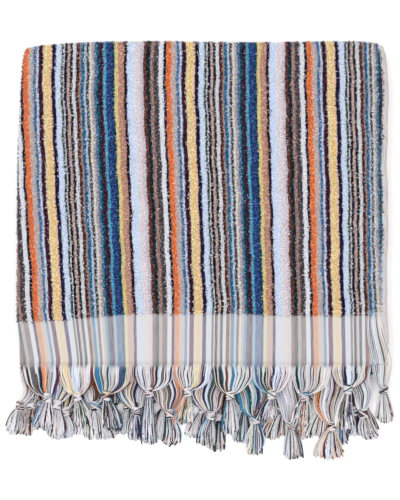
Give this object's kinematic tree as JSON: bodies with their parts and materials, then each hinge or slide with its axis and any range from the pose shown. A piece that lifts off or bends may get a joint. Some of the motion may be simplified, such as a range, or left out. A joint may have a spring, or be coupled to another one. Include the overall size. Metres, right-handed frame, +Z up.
{
  "type": "folded turkish towel",
  "caption": "Striped terry bath towel with flat-woven end bands and knotted warp tassels, folded into a flat rectangular stack and lying on a surface.",
  "frame": {"origin": "centre of the footprint, on the surface that the towel lies on", "axes": "+X from the lengthwise fold to the selvedges, +Y from the fringe to the top fold, +Z up"},
  "size_m": [0.478, 0.512, 0.0272],
  "materials": {
    "cloth": "striped terry pile with flat-woven end bands",
    "fringe": "loose twisted cotton warps in the stripe colours"
  },
  "bodies": {
    "root": {"cloth": "cloth", "tassel_lowest_1": "fringe", "tassel_lowest_2": "fringe", "tassel_lowest_3": "fringe", "tassel_lowest_4": "fringe", "tassel_lowest_5": "fringe", "tassel_lowest_6": "fringe", "tassel_lowest_7": "fringe", "tassel_lowest_8": "fringe", "tassel_lowest_9": "fringe", "tassel_lowest_10": "fringe", "tassel_third_1": "fringe", "tassel_third_2": "fringe", "tassel_third_3": "fringe", "tassel_third_4": "fringe", "tassel_third_5": "fringe", "tassel_third_6": "fringe", "tassel_third_7": "fringe", "tassel_third_8": "fringe", "tassel_third_9": "fringe", "tassel_third_10": "fringe", "tassel_second_1": "fringe", "tassel_second_2": "fringe", "tassel_second_3": "fringe", "tassel_second_4": "fringe", "tassel_second_5": "fringe", "tassel_second_6": "fringe", "tassel_second_7": "fringe", "tassel_second_8": "fringe", "tassel_second_9": "fringe", "tassel_second_10": "fringe", "tassel_upper_1": "fringe", "tassel_upper_2": "fringe", "tassel_upper_3": "fringe", "tassel_upper_4": "fringe", "tassel_upper_5": "fringe", "tassel_upper_6": "fringe", "tassel_upper_7": "fringe", "tassel_upper_8": "fringe", "tassel_upper_9": "fringe", "tassel_upper_10": "fringe"}
  },
  "joints": []
}
